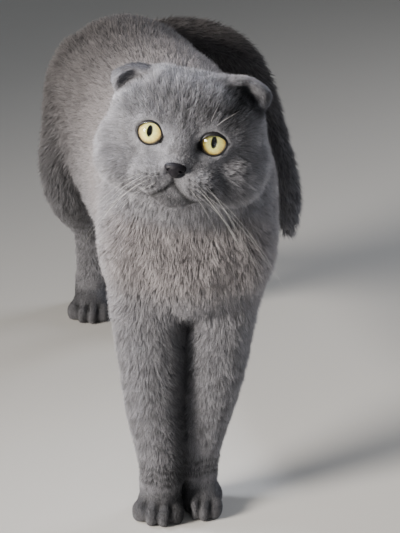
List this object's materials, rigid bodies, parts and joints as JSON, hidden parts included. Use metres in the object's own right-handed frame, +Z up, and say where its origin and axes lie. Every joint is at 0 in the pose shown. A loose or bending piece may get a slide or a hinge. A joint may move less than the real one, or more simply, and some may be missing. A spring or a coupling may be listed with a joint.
{
  "type": "scottish fold cat",
  "caption": "Life-size still model of a standing grey cat with folded ears, forefeet together, head raised and tail arched to one side.",
  "frame": {"origin": "on the floor under the middle of the whole cat's outline, at the level of the soles", "axes": "+Z up, -Y the way the cat faces, +X the cat's left"},
  "size_m": [0.2074, 0.463, 0.3312],
  "materials": {
    "coat": "dense, short plush fur, blue-grey",
    "paw_coat": "short dark slate fur",
    "eye": "wet, clear cornea over an amber iris",
    "nose_leather": "dark slate, finely pebbled, moist"
  },
  "bodies": {
    "root": {"head": "coat", "ear_left": "coat", "ear_right": "coat", "neck": "coat", "chest": "coat", "abdomen": "coat", "rump": "coat", "tail_base": "coat", "tail_middle": "coat", "tail_tip": "coat", "foreleg_upper_left": "coat", "foreleg_lower_left": "coat", "thigh_left": "coat", "hindleg_lower_left": "coat", "foreleg_upper_right": "coat", "foreleg_lower_right": "coat", "thigh_right": "coat", "hindleg_lower_right": "coat", "forepaw_left": "paw_coat", "hindpaw_left": "paw_coat", "forepaw_right": "paw_coat", "hindpaw_right": "paw_coat", "eye_left": "eye", "eye_right": "eye", "nose": "nose_leather"}
  },
  "joints": []
}
